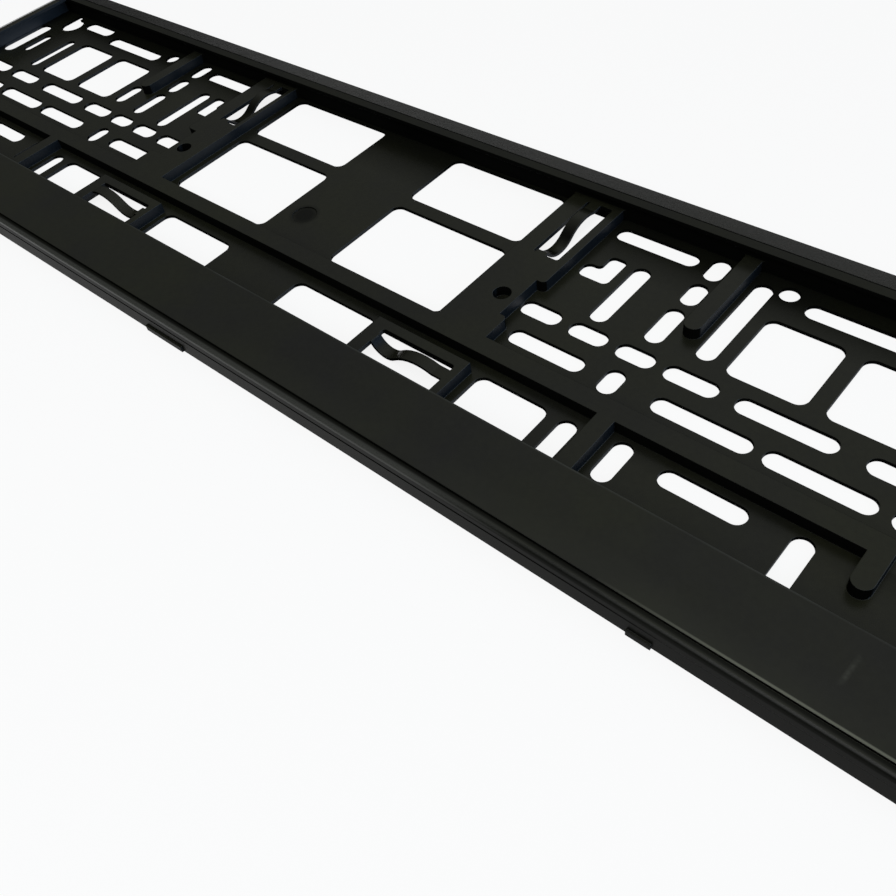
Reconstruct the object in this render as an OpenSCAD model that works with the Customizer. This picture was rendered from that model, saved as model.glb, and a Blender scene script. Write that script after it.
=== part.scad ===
// Number plate holder: a perforated moulded tray with a rim on three sides,
// closed along the bottom by a clip-on strip. It lies on its back, millimetres,
// back face at z = 0, middle of the outline at the origin.

/* [Number plate] */
// Width of the number plate that the tray takes
plate_w = 520; // [480:5:560]
// Height of the number plate
plate_h = 110; // [104:1:120]
// Play beside the plate at each end
play_x = 1.4; // [0.6:0.1:2.5]
// Play above and below the plate
play_y = 0.5; // [0.2:0.1:1.2]
// Room between the ribs and the lips for the plate and its bow
plate_room = 3.4; // [2.6:0.1:4.2]

/* [Tray] */
// Thickness of the perforated sheet
sheet_t = 1.2; // [1:0.1:2.4]
// Height of the ribs above the sheet
rib_h = 4.1; // [3:0.1:5.5]
// Width of the ribs and fingers
rib_w = 6; // [5:0.1:7]
// Wall thickness of ribs, rim and islands
wall_t = 1.5; // [1.1:0.1:1.8]
// Radius of the window corners
window_r = 3.5; // [2:0.1:4.5]

/* [Screw slots] */
// Width of the screw slots
slot_w = 6.5; // [5.5:0.1:6.9]
// Width of the three narrow slots near each end
slim_slot_w = 5.3; // [4.5:0.1:6]
// Diameter of the round hole at the top of each outer pocket
round_hole_d = 6.6; // [5:0.1:7]

/* [Rim] */
// Thickness of the lip that holds the plate
lip_t = 1.5; // [1.2:0.1:2]
// How far the top lip covers the plate opening
lip_over_top = 1.9; // [1.2:0.1:3.2]
// How far the end lips cover the plate opening
lip_over_end = 6.4; // [5:0.1:8]
// Width of the flat band of the lip, up to the fine groove
lip_w = 3.6; // [3:0.1:5]
// Width of the sloping face outside the groove
skirt_w = 11; // [9:0.5:14]
// Fall of the sloping face from groove to outer edge
skirt_drop = 3.7; // [2.5:0.1:4.2]
// Radius of the outer corners seen from the front
corner_r = 6; // [3:0.5:9]
// Width of the fine groove
groove_w = 0.5; // [0.3:0.1:0.9]
// Depth of the fine groove
groove_d = 0.4; // [0.2:0.1:0.7]

/* [Strip] */
// How far the strip covers the lower edge of the plate opening
strip_over = 4.8; // [3.5:0.1:6]
// Height of the flat face of the strip
strip_h = 24.2; // [20:0.1:34]
// Radius of the rounded ridge below the flat face
ridge_r = 1.4; // [1:0.1:1.5]
// Step from the flat face down to the ridge
ridge_step = 0.8; // [0.5:0.1:1]
// How far the seam between strip and tray lies below the outer edge of the rim
seam_drop = 0.5; // [0.2:0.1:1]
// Length of each strip clip
clip_len = 16; // [10:1:24]
// Reach of the clip barbs
barb = 0.9; // [0.6:0.1:1.2]
// Clearance between strip and tray
fit_gap = 0.2; // [0.1:0.05:0.4]

/* [Springs] */
// Width of the spring leaves
leaf_w = 4.4; // [3.2:0.1:5.4]
// Thickness of the spring leaves
leaf_t = 0.9; // [0.7:0.1:1.2]
// Height of the leaf crests above the ribs
leaf_rise = 0.9; // [0.3:0.1:1.3]
// Height of the leaf troughs above the back
leaf_low = 0.5; // [0.3:0.1:1.2]

/* [Hidden] */
EPS = 0.01;
ROUND = 48;

seat_x = plate_w / 2 + play_x;
// The plate sits a little below the middle row of slots
seat_top = plate_h / 2 + play_y - 1.2;
seat_bot = -plate_h / 2 - play_y - 1.2;
// The layout of slots and ribs is drawn for a seat of 522.8 by 111 and spreads with it
kx = seat_x / 261.4;
ky = (seat_top - seat_bot) / 111;

rib_top = sheet_t + rib_h;
lip_z = rib_top + plate_room;
top_z = lip_z + lip_t;
edge_z = top_z - skirt_drop;
seam_z = edge_z - seam_drop;

lip_x = seat_x - lip_over_end;
lip_y = seat_top - lip_over_top;
groove_x = lip_x + lip_w;
groove_y = lip_y + lip_w;
out_x = groove_x + skirt_w;
out_top = groove_y + skirt_w;

strip_top = seat_bot + strip_over;
fold_y = strip_top - strip_h;
ridge_y = fold_y - 1.5;
front_y = ridge_y - ridge_r;
lug_out = 0.7;
out_bot = front_y - lug_out;
tongue_t = 1.1;
tongue_y = front_y + wall_t + fit_gap;
mid_y = (out_top + out_bot) / 2;

rail_y = seat_bot - wall_t;
rail_x = lip_x - 5;
catch_y = rail_y - 5;
clip_x = [40, 125, 210] * kx;
barb_h = 1.2;

isle_x = [75, 95.5] * kx;
waist_x = [92.4, 89.6] * kx;
waist_y = [-10.9, 8.3] * ky;
jog_r = 1.8;
band_y = [-28.4, -21.7] * ky;
pocket_x = [60, 98.8] * kx;
pocket_top = -33.2 * ky;
pocket_open = [30.3, 12.7];
pocket_open_at = [[80.55 * kx, -43.15 * ky], [-78.15 * kx, -43.15 * ky]];
pocket_leaf_y = -41.25 * ky;
isle_open = [10.25, 32];
isle_open_at = [[87.1 * kx, 35.8 * ky], [-82.35 * kx, 35.8 * ky]];
isle_leaf_x = [85.05 * kx, -84.55 * kx];
corner_fill = 1.2;
pin_d = 6.2;
pin_at = [[86.7 * kx, -2.7 * ky], [-84.0 * kx, -2.8 * ky]];

// The same shape on both sides of the middle
module both() {
    children();
    mirror([1, 0, 0]) children();
}

// Rectangle from corner to corner, drawn in by an inset on all sides
module box_plan(x0, x1, y0, y1, inset = 0) {
    translate([x0 + inset, y0 + inset]) square([x1 - x0 - 2 * inset, y1 - y0 - 2 * inset]);
}

// Filling of an inner corner that opens towards +X and +Y
module corner_plan(r) {
    difference() {
        translate([-EPS, -EPS]) square(r + EPS);
        translate([r, r]) circle(r = r, $fn = ROUND);
    }
}

// Rectangle with rounded corners
module window(x0, x1, y0, y1, r = window_r) {
    box_plan(x0 + r, x1 - r, y0, y1);
    box_plan(x0, x1, y0 + r, y1 - r);
    for (x = [x0 + r, x1 - r], y = [y0 + r, y1 - r]) translate([x, y]) circle(r = r, $fn = ROUND);
}

// Window placed by the layout
module layout_window(x0, x1, y0, y1, r = window_r) {
    window(x0 * kx, x1 * kx, y0 * ky, y1 * ky, r);
}

// Slot with round ends that lies along the plate
module slot_across(x, y, len, w = slot_w) {
    half = (len * kx - w) / 2;
    translate([x * kx, y * ky]) {
        square([2 * half, w], center = true);
        for (s = [-1, 1]) translate([s * half, 0]) circle(d = w, $fn = ROUND);
    }
}

// Slot with round ends that stands upright on the plate
module slot_up(x, y, len, w = slot_w) {
    half = (len * ky - w) / 2;
    translate([x * kx, y * ky]) {
        square([w, 2 * half], center = true);
        for (s = [-1, 1]) translate([0, s * half]) circle(d = w, $fn = ROUND);
    }
}

// Slots of the middle row, then the rows below and above it
module slots_plan() {
    slot_across(100.3, 0, 15.2);
    slot_across(118.8, 0, 14);
    slot_across(136.2, 0, 13.5);
    slot_across(155.4, 0, 18);
    slot_across(185.5, 0, 31);
    slot_across(219.2, 0, 20.8);
    slot_across(244, 0, 20);

    slot_across(112, -12.9, 28.3);
    slot_up(136.3, -13, 10.5);
    slot_across(166.5, -12.9, 32);
    slot_across(201.8, -12.9, 32);
    slot_across(237.5, -12.9, 32);

    slot_up(116.7, 20.8, 29.4);
    slot_across(113.5, 47.2, 31.4);
    slot_up(136.2, 47.1, 11.3);
    slot_up(136.2, 33.1, 11);
    slot_up(136.2, 16, 17.2);
    slot_across(188, 45.3, 40.5);
    slot_across(224.7, 49.6, 22);
    slot_up(226.9, 21.5, 26, slim_slot_w);
    slot_up(245.5, 24, 16, slim_slot_w);
    translate([160.7 * kx, 48.6 * ky]) circle(d = round_hole_d, $fn = ROUND);

    slot_up(136.3, -41.8, 19);
    slot_up(154, -38, 16);
    slot_across(180, -34.4, 26.5);
    slot_up(208, -40.4, 19.6);
}

// L-shaped slot beside the islands, with a soft inner corner
module corner_slot() {
    layout_window(98, 110, 22, 28.6, 2.8);
    layout_window(103.5, 110, 22, 35.4, 2.2);
    translate([103.5 * kx, 28.6 * ky]) mirror([1, 0]) corner_plan(1.8);
}

// Half-round hole with a slit, close to the upper corner
module half_round_hole() {
    intersection() {
        translate([243.8 * kx, 45.1 * ky]) circle(r = 5.8, $fn = ROUND);
        box_plan(230 * kx, 249.2 * kx, 36 * ky, 54 * ky);
    }
    box_plan(245 * kx, 249.2 * kx, 45.1 * ky, 53.6 * ky);
}

// Windows of the centre, then of the outer pockets
module windows_plan() {
    layout_window(18.8, 71.8, 24.3, 53);
    layout_window(18.5, 72, -18.8, 18.6);
    layout_window(18.6, 57.4, -51, -32.7);
    layout_window(101.8, 128.6, -51, -32.3);
    layout_window(160.8, 186.5, 8.2, 36);
    layout_window(191.9, 218, 8.2, 36);
    layout_window(252.3, 261, 11, 38.5);
}

module holes_plan() {
    // The slot beside the top finger is long on the right and short on the left
    slot_up(153.1, 29.2, 39.5);
    slot_up(-153.1, 16.3, 13.9);
    both() {
        slots_plan();
        corner_slot();
        half_round_hole();
        windows_plan();
    }
}

// Finger from a wall to a round end; inset leaves the wall thickness
module finger_plan(x, y_root, y_end, inset) {
    dir = y_root > y_end ? 1 : -1;
    y_mid = y_end + dir * rib_w / 2;
    lo = min(y_root - dir * inset, y_mid);
    hi = max(y_root - dir * inset, y_mid);
    box_plan(x - rib_w / 2 + inset, x + rib_w / 2 - inset, lo, hi);
    translate([x, y_mid]) circle(d = rib_w - 2 * inset, $fn = ROUND);
}

// Long rib below the centre, its turned-down ends, the lands and the top fingers
module ribs_plan(inset = 0) {
    rib_end = 227.3 * kx;
    box_plan(-rib_end, rib_end, band_y[0], band_y[1], inset);
    both() {
        finger_plan(rib_end - rib_w / 2, band_y[0], -39.7 * ky, inset);
        box_plan(145.2 * kx - rib_w / 2, 145.2 * kx + rib_w / 2, seat_bot, band_y[0], inset);
    }
    finger_plan(145 * kx, seat_top, 15 * ky, inset);
    finger_plan(-145 * kx, seat_top, 20.3 * ky, inset);
}

// Islands that carry the upright spring leaves, narrowed by a waist on their outer side
module isle_plan(inset = 0) {
    both() {
        window(isle_x[0] + inset, isle_x[1] - inset, waist_y[1] + inset, seat_top + jog_r, jog_r);
        window(isle_x[0] + inset, isle_x[1] - inset, band_y[1] - jog_r, waist_y[0] - inset, jog_r);
    }
    if (inset == 0) {
        box_plan(isle_x[0], waist_x[0], waist_y[0] - jog_r, waist_y[1] + jog_r);
        box_plan(-waist_x[1], -isle_x[0], waist_y[0] - jog_r, waist_y[1] + jog_r);
    }
}

// Part of the plan that lies between the walls of the seat
module seat_plan(inset = 0) {
    intersection() {
        box_plan(-seat_x, seat_x, seat_bot, seat_top, inset);
        children();
    }
}

// Islands that carry the lying spring leaves, above the strip
module pocket_plan(inset = 0) {
    both() box_plan(pocket_x[0], pocket_x[1], seat_bot, pocket_top, inset);
}

// Rounded inner corners where fingers and islands meet the upper wall of the seat
module wall_corners() {
    both() for (x = [isle_x[1], 145 * kx + rib_w / 2]) translate([x, seat_top]) mirror([0, 1]) corner_plan(corner_fill);
    both() for (x = [isle_x[0], 145 * kx - rib_w / 2])
        translate([x, seat_top]) mirror([0, 1]) mirror([1, 0]) corner_plan(corner_fill);
}

// Openings around the spring leaves
module leaf_openings() {
    for (at = isle_open_at) translate(at)
        window(-isle_open[0] / 2, isle_open[0] / 2, -isle_open[1] / 2, isle_open[1] / 2, 1);
    for (at = pocket_open_at) translate(at)
        window(-pocket_open[0] / 2, pocket_open[0] / 2, -pocket_open[1] / 2, pocket_open[1] / 2, 1);
}

// Part of a ring between two angles, to bend the leaves
module bend(r, a0, a1) {
    am = (a0 + a1) / 2;
    intersection() {
        difference() {
            circle(r = r + leaf_t / 2, $fn = 2 * ROUND);
            circle(r = r - leaf_t / 2, $fn = 2 * ROUND);
        }
        polygon([[0, 0], 2 * r * [cos(a0), sin(a0)], 2 * r * [cos(am), sin(am)], 2 * r * [cos(a1), sin(a1)]]);
    }
}

// Side view of a leaf: a tight bend at the trough and a wide one at the crest that
// meet on a slope, and a flat tongue into the island at each end
module leaf_side(trough, crest, from, to, low_share) {
    z_flat = rib_top - leaf_t / 2;
    z_crest = z_flat + leaf_rise;
    z_trough = leaf_low + leaf_t / 2;
    run = crest - trough;
    wave = z_crest - z_trough;
    both_r = (run * run + wave * wave) / (2 * wave);
    r_low = low_share * both_r;
    r_high = both_r - r_low;
    zc = z_crest - r_high;
    zt = z_trough + r_low;
    crest_end = sqrt(r_high * r_high - (z_flat - zc) * (z_flat - zc));
    trough_end = sqrt(r_low * r_low - (zt - z_flat) * (zt - z_flat));
    tilt = atan2(zt - zc, run);
    translate([crest, zc]) bend(r_high, atan2(z_flat - zc, crest_end), 180 - tilt);
    translate([trough, zt]) bend(r_low, -180 + atan2(zt - z_flat, trough_end), -tilt);
    box_plan(min(crest + crest_end - 0.3, to), to + 1, z_flat - leaf_t / 2, z_flat + leaf_t / 2);
    box_plan(from - 1, max(from, trough - trough_end + 0.3), z_flat - leaf_t / 2, z_flat + leaf_t / 2);
}

// The upright leaves of the islands, then the lying ones: their waves run opposite ways
module leaves() {
    tall = isle_open[1] / 2;
    for (i = [0, 1]) translate([isle_leaf_x[i] - leaf_w / 2, isle_open_at[i][1], 0]) rotate([90, 0, 90])
        linear_extrude(leaf_w) leaf_side(-7, 7.2, -tall, tall, 0.4);
    wide = pocket_open[0] / 2;
    translate([pocket_open_at[0][0], pocket_leaf_y + leaf_w / 2, 0]) rotate([90, 0, 0])
        linear_extrude(leaf_w) leaf_side(-9.2, 5.4, -wide, wide, 0.25);
    translate([pocket_open_at[1][0], pocket_leaf_y + leaf_w / 2, 0]) mirror([1, 0, 0]) rotate([90, 0, 0])
        linear_extrude(leaf_w) leaf_side(-5.9, 9.3, -wide, wide, 0.4);
}

// Profile across the holder, inset by the wall for the hollow back
module across_profile(inset) {
    polygon([
        [out_x - inset, -inset], [out_x - inset, edge_z - inset], [groove_x - inset / 2, top_z - inset],
        [-groove_x + inset / 2, top_z - inset], [-out_x + inset, edge_z - inset], [-out_x + inset, -inset]
    ]);
}

// Profile up the holder, inset by the wall for the hollow back
module up_profile(inset) {
    polygon([
        [front_y + inset, -inset], [front_y + inset, top_z - inset],
        [groove_y - inset / 2, top_z - inset], [out_top - inset, edge_z - inset], [out_top - inset, -inset]
    ]);
}

// Solid with the outer faces of the holder, or of its hollow back
module outer_form(inset = 0) {
    intersection() {
        translate([0, out_top + 1, 0]) rotate([90, 0, 0]) linear_extrude(out_top - out_bot + 2) across_profile(inset);
        translate([-out_x - 1, 0, 0]) rotate([90, 0, 90]) linear_extrude(2 * out_x + 2) up_profile(inset);
        translate([0, 0, -inset]) linear_extrude(top_z + 1) window(
            -out_x + inset, out_x - inset, front_y + inset, out_top - inset, corner_r - inset);
    }
}

// Tray, lips and fine groove cut into the outer form
module tray_cuts() {
    translate([0, 0, sheet_t]) linear_extrude(lip_z - sheet_t) box_plan(-seat_x, seat_x, seat_bot, seat_top);
    translate([0, 0, sheet_t]) linear_extrude(top_z) box_plan(-lip_x, lip_x, seat_bot, lip_y);
    translate([0, 0, top_z - groove_d]) linear_extrude(1) difference() {
        box_plan(-groove_x - groove_w, groove_x + groove_w, out_bot, groove_y + groove_w);
        box_plan(-groove_x, groove_x, out_bot - 1, groove_y);
    }
    translate([0, 0, seam_z]) linear_extrude(top_z)
        box_plan(-out_x - 1, out_x + 1, out_bot - 1, strip_top + fit_gap);
    translate([0, 0, sheet_t]) linear_extrude(top_z)
        box_plan(-out_x + wall_t, out_x - wall_t, front_y + wall_t, rail_y);
}

// Hollow back under the sloping faces of the rim
module rim_hollow() {
    difference() {
        outer_form(wall_t);
        translate([0, 0, -5]) linear_extrude(top_z + 10)
            box_plan(-seat_x - wall_t, seat_x + wall_t, out_bot, seat_top + wall_t);
        translate([0, 0, -5]) linear_extrude(top_z + 10) box_plan(-out_x, out_x, out_bot, strip_top + fit_gap);
    }
}

// Rail below the plate and the catches for the clips of the strip
module strip_bed() {
    translate([0, 0, EPS]) linear_extrude(lip_z - EPS) box_plan(-rail_x, rail_x, rail_y, seat_bot + EPS);
    both() for (x = clip_x) translate([x - clip_len / 2 - 1, 0, 0]) rotate([90, 0, 90])
        linear_extrude(clip_len + 2) catch_side();
}

// Upright catch with a bead that the barb of a clip snaps under
module catch_side() {
    z_bead = seam_z - barb_h;
    box_plan(catch_y - wall_t, catch_y, EPS, seam_z);
    polygon([
        [catch_y - EPS, z_bead - barb], [catch_y + barb, z_bead], [catch_y + barb, z_bead + barb_h / 2],
        [catch_y, seam_z], [catch_y - EPS, seam_z]
    ]);
}

// Clip of the strip: a leg with a barb under the bead of its catch
module clip_side() {
    y_leg = catch_y + barb + fit_gap;
    z_barb = seam_z - barb_h - barb - fit_gap;
    box_plan(y_leg, y_leg + wall_t, sheet_t + fit_gap, lip_z + EPS);
    polygon([
        [y_leg + EPS, z_barb], [y_leg - barb, z_barb - EPS], [y_leg, sheet_t + fit_gap],
        [y_leg + EPS, sheet_t + fit_gap]
    ]);
}

// Small lugs on the lower edge, to lever the strip off
module lugs() {
    for (lug = [[-190, 7], [0, 20], [190, 7]]) translate([lug[0] * kx, 0, 0]) linear_extrude(2.2)
        box_plan(-lug[1] / 2, lug[1] / 2, out_bot, front_y + wall_t);
}

// Tray with its rim, ribs, islands and spring leaves, one moulding
module base_carrier() {
    color([0.13, 0.13, 0.12]) translate([0, -mid_y, 0]) {
        difference() {
            union() {
                difference() {
                    outer_form();
                    tray_cuts();
                    rim_hollow();
                    translate([0, 0, -1]) linear_extrude(sheet_t + 1.5) holes_plan();
                }
                linear_extrude(rib_top) {
                    ribs_plan();
                    seat_plan() isle_plan();
                    pocket_plan();
                    wall_corners();
                }
                strip_bed();
                lugs();
            }
            translate([0, 0, -1]) linear_extrude(1 + rib_top - wall_t) {
                ribs_plan(wall_t);
                seat_plan(wall_t) isle_plan(wall_t);
                pocket_plan(wall_t);
            }
            translate([0, 0, -1]) linear_extrude(top_z) leaf_openings();
            for (at = pin_at) translate([at[0], at[1], rib_top - 3.5]) cylinder(d = pin_d, h = 4, $fn = ROUND);
            translate([-8.7 * kx, -4.6 * ky, sheet_t - 0.3]) cylinder(d = 9.5, h = 1, $fn = ROUND);
        }
        leaves();
    }
}

// Section of the strip: flat face, step, rounded ridge and the tongue behind the tray edge
module strip_section() {
    box_plan(fold_y, strip_top, lip_z, top_z);
    box_plan(ridge_y - 0.3, tongue_y + tongue_t, seam_z, top_z - ridge_step);
    translate([ridge_y, top_z - ridge_step - ridge_r]) circle(r = ridge_r, $fn = ROUND);
    box_plan(front_y, ridge_y, seam_z, top_z - ridge_step - ridge_r);
    box_plan(tongue_y, tongue_y + tongue_t, sheet_t + fit_gap, seam_z + EPS);
}

// Cover strip that closes the tray along the bottom and holds the plate's lower edge
module cover_strip() {
    cap_x = rail_x + fit_gap;
    color([0.12, 0.12, 0.11]) translate([0, -mid_y, 0]) {
        intersection() {
            union() {
                translate([-out_x, 0, 0]) rotate([90, 0, 90]) linear_extrude(2 * out_x) intersection() {
                    strip_section();
                    box_plan(front_y - 1, strip_top, seam_z, top_z);
                }
                both() translate([cap_x, 0, 0]) rotate([90, 0, 90]) linear_extrude(out_x - cap_x)
                    box_plan(ridge_y, strip_top, seam_z, top_z - ridge_step);
            }
            translate([0, strip_top + 1, 0]) rotate([90, 0, 0]) linear_extrude(strip_top - front_y + 2)
                across_profile(0);
            linear_extrude(top_z + 1) window(-out_x, out_x, front_y, 0, corner_r);
        }
        translate([-rail_x, 0, 0]) rotate([90, 0, 90]) linear_extrude(2 * rail_x)
            box_plan(tongue_y, tongue_y + tongue_t, sheet_t + fit_gap, seam_z + EPS);
        both() for (x = clip_x) translate([x - clip_len / 2, 0, 0]) rotate([90, 0, 90])
            linear_extrude(clip_len) clip_side();
    }
}

base_carrier();
cover_strip();
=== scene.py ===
import bpy
import numpy as np
from mathutils import Matrix, Vector

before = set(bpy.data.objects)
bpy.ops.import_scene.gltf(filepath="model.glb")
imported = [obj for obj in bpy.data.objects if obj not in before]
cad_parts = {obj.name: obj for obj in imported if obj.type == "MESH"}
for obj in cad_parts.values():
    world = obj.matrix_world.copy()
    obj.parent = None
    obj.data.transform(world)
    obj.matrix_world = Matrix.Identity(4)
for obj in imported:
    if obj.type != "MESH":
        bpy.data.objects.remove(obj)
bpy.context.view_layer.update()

MM = 0.001
X, Y, Z = 0, 1, 2

# Viewing place of the photograph, in millimetres of the holder's own frame
EYE = (247.5, -167.85, 205.35)
EYE_RIGHT = (0.7475, 0.6513, -0.1304)
EYE_UP = (-0.4380, 0.6309, 0.6403)
LENS, SENSOR = 37.515, 36.0
NEAR, FAR = 0.01, 20

# Borders of the painted places, in metres: a mask is 0 at the first value and 1 at the second
SHEET_TOP = (0.0016, 0.0013)
LIP_TOP = (0.0098, 0.0101)
LIP_STRETCH = (0.0540, 0.0560)
BELOW_LIP = (0.0360, 0.0560)
BELOW_RIB_FAR, BELOW_RIB_NEAR = (-0.0300, -0.0232), (-0.0216, -0.0222)
LEFT_END_WALL = (-0.250, -0.258)
LEFT_OF_RIM = (-0.08, -0.20)
ROUND_MARK_AT = (-0.0087, 0.00175, 0.0)
ROUND_MARK_EDGE = (0.0065, 0.0030)

# Lower edge and strip: the front wall, the ridge above it, the fold and the seam
FRONT_WALL, BEHIND_FRONT_WALL = (-0.0705, -0.0715), (-0.0715, -0.0705)
FRONT_FACE = (-0.0715, -0.0725)
UNDER_RIDGE = (0.0085, 0.0081)
RIDGE_IN, RIDGE_UP = (-0.0705, -0.0712), (0.0079, 0.0083)
LIT_LEFT, UNLIT_RIGHT = (0.155, 0.115), (0.115, 0.155)
SEAM = 0.0060
SEAM_LOW = (SEAM - 0.0004, SEAM - 0.0002)
SEAM_HIGH = (SEAM + 0.0004, SEAM + 0.0001)
SEAM_LEFT = (0.20, 0.12)
# The front wall takes a little less painted shade towards the left: painted light
PAINTED_LIGHT_WALL_LEFT = (0.20, 0.10)
FOLD_UP, FOLD_DOWN, FOLD_RIGHT = (-0.06890, -0.06925), (-0.07000, -0.06985), (0.175, 0.215)
# Borders of the painted shade in the corner under the fold
CORNER_UP, CORNER_DOWN = (-0.0694, -0.0699), (-0.0713, -0.0706)
UPPER_EDGE = (-0.0462, -0.0458)
PALE_DOWN, PALE_RIGHT = (-0.0600, -0.0680), (0.0, 0.16)
SCUFF_AT, SCUFF_TURN = (0.2328, -0.0561, 0.0), 1.514
SCUFF_LONG, SCUFF_WIDE = (0.0055, 0.0020), (0.0009, 0.0001)

# Colours, as linear values
# Black of the matt shader that paints shade
PAINTED_SHADE_BLACK = (0.0020, 0.0021, 0.0018)
SPOT_BLACK = (0.0022, 0.0024, 0.0018)
# Painted highlight on soft edges turned towards the right end
PAINTED_EDGE_HIGHLIGHT = (0.060, 0.068, 0.078)
# Painted blue side light on walls facing the right end, stronger on the left end walls
SIDE_LIGHT_BLUE = (0.0085, 0.0138, 0.0225)
LEFT_END_LIGHT_BLUE = (0.018, 0.024, 0.032)
PALE_OLIVE = (0.0180, 0.0188, 0.0120)
SCUFF_GREY = (0.034, 0.035, 0.028)
# Painted highlight along the fold
FOLD_HIGHLIGHT = (0.110, 0.113, 0.086)
# Painted highlight along the strip's upper edge
UPPER_EDGE_HIGHLIGHT = (0.036, 0.038, 0.034)
# Painted highlight on the ridge at the left
RIDGE_HIGHLIGHT_GREY = (0.0255, 0.0262, 0.0225)


class Sum:
    """A socket with arithmetic: each operator adds the Math node that it stands for."""

    def __init__(self, tree, socket):
        self.tree, self.socket = tree, socket

    def _math(self, operation, *others):
        terms = dict(enumerate((self, *others)))
        return self.tree.node("ShaderNodeMath", {"operation": operation}, terms)

    def __add__(self, other):
        return self._math("ADD", other)

    def __mul__(self, other):
        return self._math("MULTIPLY", other)

    __radd__ = __add__
    __rmul__ = __mul__

    def without_sign(self):
        return self._math("ABSOLUTE")

    def or_larger(self, other):
        return self._math("MAXIMUM", other)

    def limited(self, low, high, to_low=0.0, to_high=1.0):
        """Straight line from low to high, held at both ends."""
        ends = {"From Min": low, "From Max": high, "To Min": to_low, "To Max": to_high}
        return self.tree.node("ShaderNodeMapRange", {"clamp": True}, {"Value": self, **ends})


class Tree:
    """A node tree, whose sockets take numbers, colours, sockets or sums."""

    def __init__(self, tree):
        self.nodes, self.links = tree.nodes, tree.links

    def put(self, socket, value):
        if isinstance(value, Sum):
            self.links.new(value.socket, socket)
        elif hasattr(value, "is_output"):
            self.links.new(value, socket)
        else:
            socket.default_value = value

    def raw(self, kind, settings=None, inputs=None):
        made = self.nodes.new(kind)
        for key, value in (settings or {}).items():
            setattr(made, key, value)
        for key, value in (inputs or {}).items():
            self.put(made.inputs[key], value)
        return made

    def node(self, kind, settings=None, inputs=None, output=0):
        return Sum(self, self.raw(kind, settings, inputs).outputs[output])

    def along(self, axis, vector):
        """One of the three parts of a vector."""
        return self.node("ShaderNodeSeparateXYZ", {}, {0: vector}, output=axis)


class Finish(Tree):
    """A material with one Principled shader, whose inputs take numbers, colours or patterns."""

    def __init__(self, name):
        self.material = bpy.data.materials.new(name)
        self.material.use_nodes = True
        super().__init__(self.material.node_tree)
        self.shader = self.nodes["Principled BSDF"]
        self.output = self.nodes["Material Output"]

    def place(self, stretch=(1, 1, 1)):
        """Object coordinates in metres, stretched along the three axes."""
        where = self.raw("ShaderNodeTexCoord").outputs["Object"]
        mapped = self.raw("ShaderNodeMapping", {}, {"Vector": where, "Scale": stretch})
        return mapped.outputs["Vector"]

    def speckle(self, size_mm, detail=2.0, stretch=(1, 1, 1), rough=0.5):
        """Soft random pattern whose patches are about size_mm across, from 0 to 1."""
        look = {"Scale": 1.0 / (size_mm * MM), "Detail": detail, "Roughness": rough}
        return self.node("ShaderNodeTexNoise", {"noise_dimensions": "3D"},
                         {"Vector": self.place(stretch), **look})

    def tint_over(self, colour, mask, over):
        """Colour covered by another where the mask is 1."""
        return self.raw("ShaderNodeMix", {"data_type": "RGBA"},
                        {0: mask, 6: colour, 7: (*over, 1)}).outputs[2]

    def blend(self, share, first, second):
        """Two shaders, the second taking the given share."""
        return self.raw("ShaderNodeMixShader", {}, {0: share, 1: first, 2: second}).outputs[0]

    def set(self, **inputs):
        for key, value in inputs.items():
            self.put(self.shader.inputs[key.replace("_", " ")], value)

    def finished(self, surface):
        self.links.new(surface, self.output.inputs["Surface"])
        return self.material


def plastic_colour(f, olive, grey):
    """Olive and grey clouds 46 mm across, lighter and darker by a tenth in a 1.6 mm speckle."""
    clouds = f.speckle(46, 3, rough=0.6).limited(0.35, 0.68)
    fine = f.speckle(1.6, 2).limited(0.3, 0.7, 0.9, 1.1)
    body = f.tint_over((*olive, 1), clouds, grey)
    scaled = f.raw("ShaderNodeVectorMath", {"operation": "SCALE"}, {0: body, "Scale": fine})
    return scaled.outputs[0]


def painted_shade_share(f, flat, rounded, end_wall, left_end, straight):
    """How much painted shade each surface takes, as its share of a matt black shader: walls towards
    the lower edge nearly all, the slope of the upper rim about half, end walls less, a dark line at
    the seam that is partly the real seam and partly painted shade, and the ridge at the left not at
    all."""
    x_at, y_at, z_at = (f.along(axis, f.place()) for axis in (X, Y, Z))
    y_side = f.along(Y, flat)
    # Painted shade: walls facing down towards the lower edge go nearly all matt black
    outside = (y_at.limited(*BEHIND_FRONT_WALL, 0.82, 1.0)
               + x_at.limited(*PAINTED_LIGHT_WALL_LEFT, 0.0, -0.08) * y_at.limited(*FRONT_WALL))
    turned_down = y_side if straight else f.along(Y, rounded)
    off_ridge = (y_at.limited(*BEHIND_FRONT_WALL) + z_at.limited(*UNDER_RIDGE)
                 + x_at.limited(*UNLIT_RIGHT)).limited(0.0, 1.0)
    # Dark line at the seam: partly the real seam, partly painted shade
    seam = y_at.limited(*FRONT_FACE) * z_at.limited(*SEAM_LOW) * z_at.limited(*SEAM_HIGH)
    walls = (outside * off_ridge + seam * x_at.limited(*SEAM_LEFT)).limited(0.0, 1.0)
    front = turned_down.limited(-0.08, -0.6) * walls
    # Painted shade on the slope of the upper rim, more towards the left end
    slope = (y_side.limited(0.2, 0.32, 0.0, 0.58)
             + y_side.limited(0.2, 0.32) * x_at.limited(*LEFT_OF_RIM, 0.0, 0.2))
    # End walls take some painted shade, less at the left end
    return front + slope + end_wall * left_end.limited(0.0, 1.0, 0.45, 0.12)


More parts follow.
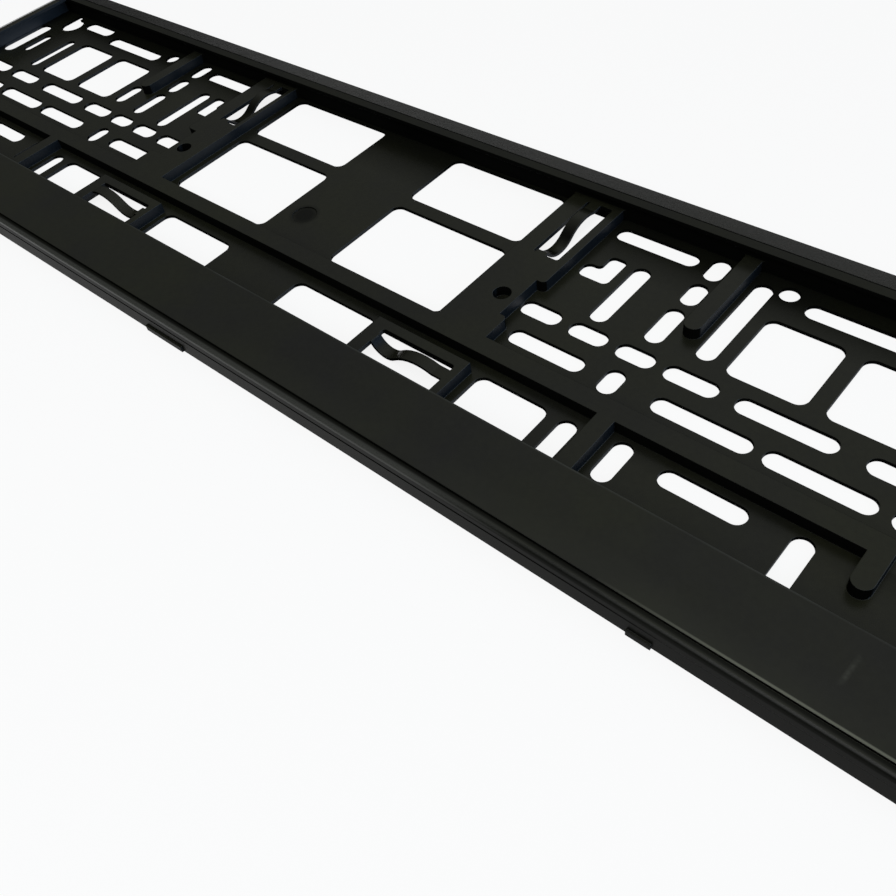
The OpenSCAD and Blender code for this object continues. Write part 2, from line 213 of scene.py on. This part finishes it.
def moulded_plastic(name, olive, grey, grain_mm, grain_depth, gloss, edge_mm, marks, straight):
    """Satin black moulding: olive and grey clouds, fine grain, soft edges that catch the light, with
    a painted highlight on those turned towards the right end, end walls painted blue as if lit from
    the side and rougher, and painted shade from a matt black shader on walls towards the lower
    edge. Marks paints the piece's own places. A straight piece takes its walls by their flat faces,
    not by the softened ones."""
    f = Finish(name)
    rounded = f.raw("ShaderNodeBevel", {"samples": 6}, {"Radius": edge_mm * MM}).outputs["Normal"]
    flat = f.raw("ShaderNodeNewGeometry").outputs["True Normal"]
    turned = f.node("ShaderNodeVectorMath", {"operation": "DOT_PRODUCT"},
                    {0: rounded, 1: flat}, output=1)
    end_wall = f.along(X, flat).limited(0.5, 0.9)
    lit_end_edge = turned.limited(0.985, 0.80) * f.along(X, rounded).limited(0.12, 0.5)
    left_end = f.along(X, f.place()).limited(*LEFT_END_WALL)

    colour = plastic_colour(f, olive, grey)
    # Painted highlight on soft edges turned towards the right end
    colour = f.tint_over(colour, lit_end_edge * 0.85, PAINTED_EDGE_HIGHLIGHT)
    # Painted blue side light on walls facing the right end, more on the left end walls
    colour = f.tint_over(colour, end_wall * 0.75, SIDE_LIGHT_BLUE)
    colour = f.tint_over(colour, end_wall * left_end * 0.8, LEFT_END_LIGHT_BLUE)
    # The marks give colour and a share of painted shade
    colour, dull_and_painted_shade = marks(f, colour)
    bump = f.raw("ShaderNodeBump", {}, {"Strength": 0.35, "Distance": grain_depth * MM,
                                        "Height": f.speckle(grain_mm, 3), "Normal": rounded})
    f.set(Base_Color=colour, Normal=bump.outputs[0], Specular_IOR_Level=0.3,
          Roughness=f.speckle(11, 3) * 0.12 + (gloss - 0.06) + end_wall * 0.2)

    # Matt black shader, blended in to paint shade
    matt = f.raw("ShaderNodeBsdfPrincipled", {},
                 {"Normal": bump.outputs[0], "Base Color": (*PAINTED_SHADE_BLACK, 1), "Roughness": 0.7,
                  "Specular IOR Level": 0.0})
    share = painted_shade_share(f, flat, rounded, end_wall, left_end, straight) + dull_and_painted_shade
    return f.finished(f.blend(share, f.shader.outputs[0], matt.outputs[0]))


def tray_marks(f, colour):
    """A soft dark spot around the shallow round mark on the middle of the sheet, 1 within 3 mm
    of its centre and 0 beyond 6.5 mm, and painted shade on the sheet below the long rib and the
    upper lip, and on the lip itself."""
    away = f.node("ShaderNodeVectorMath", {"operation": "DISTANCE"},
                  {0: f.place((1, 1, 0)), 1: ROUND_MARK_AT}, output=1)
    spot = away.limited(*ROUND_MARK_EDGE)
    y, z = (f.along(axis, f.place()) for axis in (Y, Z))
    # Painted shade on the sheet below the long rib and below the upper lip, and on the lip
    below_rib = y.limited(*BELOW_RIB_FAR) * y.limited(*BELOW_RIB_NEAR) * 0.25
    below_lip = y.limited(*BELOW_LIP) * 0.65
    foot = (below_rib + below_lip) * z.limited(*SHEET_TOP)
    lip = y.limited(*LIP_STRETCH) * z.limited(*LIP_TOP) * 0.35
    return f.tint_over(colour, spot * 0.75, SPOT_BLACK), spot * 0.45 + foot + lip


def strip_marks(f, colour):
    """A painted highlight along the fold at the right and a patchy one along the upper edge, paler
    patches near the fold, a painted highlight on the ridge at the left, one short slanting scuff,
    and painted shade as a dark line in the corner under the fold."""
    x, y, z = (f.along(axis, f.place()) for axis in (X, Y, Z))
    patchy = f.speckle(30, 2).limited(0.35, 0.6, 0.3, 1.0)
    clouds = f.speckle(24, 2, stretch=(0.4, 1, 1)).limited(0.35, 0.65)
    pale = y.limited(*PALE_DOWN) * x.limited(*PALE_RIGHT) * clouds
    colour = f.tint_over(colour, pale * 0.55, PALE_OLIVE)

    slanting = f.raw("ShaderNodeMapping", {"vector_type": "TEXTURE"},
                     {"Vector": f.place(), "Location": SCUFF_AT,
                      "Rotation": (0, 0, SCUFF_TURN)}).outputs[0]
    lengthwise = f.along(X, slanting).without_sign().limited(*SCUFF_LONG)
    crosswise = f.along(Y, slanting).without_sign().limited(*SCUFF_WIDE)
    scuff = lengthwise * crosswise * f.speckle(2.5, 2).limited(0.35, 0.6)
    colour = f.tint_over(colour, scuff * 0.8, SCUFF_GREY)

    # Painted highlight along the fold at the right
    fold = y.limited(*FOLD_UP) * y.limited(*FOLD_DOWN) * x.limited(*FOLD_RIGHT)
    colour = f.tint_over(colour, fold * 0.95, FOLD_HIGHLIGHT)
    # Patchy painted highlight along the upper edge
    colour = f.tint_over(colour, y.limited(*UPPER_EDGE) * patchy * 0.6, UPPER_EDGE_HIGHLIGHT)
    # Painted highlight on the ridge at the left
    ridge = y.limited(*RIDGE_IN) * z.limited(*RIDGE_UP)
    colour = f.tint_over(colour, ridge * x.limited(*LIT_LEFT), RIDGE_HIGHLIGHT_GREY)
    # Painted shade: a dark line in the corner under the fold
    return colour, y.limited(*CORNER_UP) * y.limited(*CORNER_DOWN) * 0.65


def floor_finish():
    """Pale floor: mostly white to the camera and to reflections, clear from below, and it keeps
    the soft shadow."""
    f = Finish("pale_floor")
    path = f.raw("ShaderNodeLightPath").outputs
    seen = Sum(f, path["Is Camera Ray"]).or_larger(path["Is Glossy Ray"])
    seen = seen.or_larger(path["Is Transmission Ray"])
    f.set(Base_Color=(0.86, 0.86, 0.86, 1), Roughness=0.9, Specular_IOR_Level=0.0)
    glow = f.raw("ShaderNodeEmission", {}, {"Color": (1, 1, 1, 1), "Strength": 1.0})
    mixed = f.blend(seen * 0.85, f.shader.outputs[0], glow.outputs[0])
    below = f.raw("ShaderNodeNewGeometry").outputs["Backfacing"]
    clear = f.raw("ShaderNodeBsdfTransparent")
    return f.finished(f.blend(below, mixed, clear.outputs[0]))


def lay_floor(half, level_mm):
    """Square floor: a two by two grid at one height, facing up."""
    u, v = np.meshgrid([-half, half], [-half, half])
    points = np.stack([u.ravel(), v.ravel(), np.full(4, level_mm * MM)], axis=1)
    mesh = bpy.data.meshes.new("floor")
    mesh.from_pydata(points.tolist(), [], [(0, 1, 3, 2)])
    floor = bpy.data.objects.new("floor", mesh)
    bpy.context.scene.collection.objects.link(floor)
    mesh.materials.append(floor_finish())


def studio_room():
    """Dim walls and a brighter ceiling: the strength goes up in a straight line between two
    heights, and falls towards the left end wall of the room."""
    world = bpy.data.worlds.new("studio_room")
    world.use_nodes = True
    bpy.context.scene.world = world
    room = Tree(world.node_tree)
    where = room.raw("ShaderNodeTexCoord").outputs["Generated"]
    rise = room.along(Z, where).limited(0.05, 0.7, 0.22, 0.42)
    towards_left = room.along(X, where).limited(-0.3, -0.9, 1.0, 0.3)
    walls = room.nodes["Background"]
    room.put(walls.inputs["Color"], (0.97, 1.0, 0.98, 1))
    room.put(walls.inputs["Strength"], rise * towards_left)


def soft_box(name, at, towards, width, height, watts, colour=(1, 1, 1)):
    """Rectangular soft light at a place in metres, aimed at another."""
    lamp = bpy.data.lights.new(name, "AREA")
    lamp.shape = "RECTANGLE"
    lamp.size, lamp.size_y = width, height
    lamp.energy, lamp.color = watts, colour
    box = bpy.data.objects.new(name, lamp)
    box.location = at
    box.rotation_mode = "QUATERNION"
    box.rotation_quaternion = (Vector(towards) - Vector(at)).to_track_quat("-Z", "Y")
    bpy.context.scene.collection.objects.link(box)


def set_camera():
    """Camera at the photograph's viewing place."""
    right, up = Vector(EYE_RIGHT).normalized(), Vector(EYE_UP).normalized()
    back = right.cross(up).normalized()
    up = back.cross(right)
    view = bpy.data.cameras.new("photo_view")
    view.lens, view.sensor_width = LENS, SENSOR
    view.clip_start, view.clip_end = NEAR, FAR
    camera = bpy.data.objects.new("photo_view", view)
    turn = Matrix((right, up, back)).transposed()
    camera.matrix_world = Matrix.Translation(Vector(EYE) * MM) @ turn.to_4x4()
    bpy.context.scene.collection.objects.link(camera)
    bpy.context.scene.camera = camera


def dress(node, material):
    """Gives a CAD node its finish."""
    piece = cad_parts[node]
    piece.data.materials.clear()
    piece.data.materials.append(material)


set_camera()
bpy.context.scene.view_settings.view_transform = "Standard"
studio_room()
lay_floor(half=3.0, level_mm=-0.05)
soft_box("front_light", (0.25, -0.95, 1.0), (0, 0, 0), 1.2, 0.8, 8, (0.95, 0.98, 1.0))
soft_box("top_light", (0.2, -0.25, 1.3), (0, 0, 0), 0.9, 0.9, 4)
soft_box("side_light", (2.2, 0.15, 0.55), (-0.1, 0, 0), 0.9, 1.1, 15, (0.42, 0.68, 1.0))

dress("base_carrier", moulded_plastic(
    "tray_plastic", olive=(0.0100, 0.0105, 0.0054), grey=(0.0080, 0.0081, 0.0060),
    grain_mm=0.22, grain_depth=0.05, gloss=0.27, edge_mm=0.40, marks=tray_marks, straight=False))
dress("cover_strip", moulded_plastic(
    "strip_plastic", olive=(0.0098, 0.0104, 0.0056), grey=(0.0072, 0.0072, 0.0064),
    grain_mm=0.15, grain_depth=0.02, gloss=0.30, edge_mm=0.30, marks=strip_marks, straight=True))
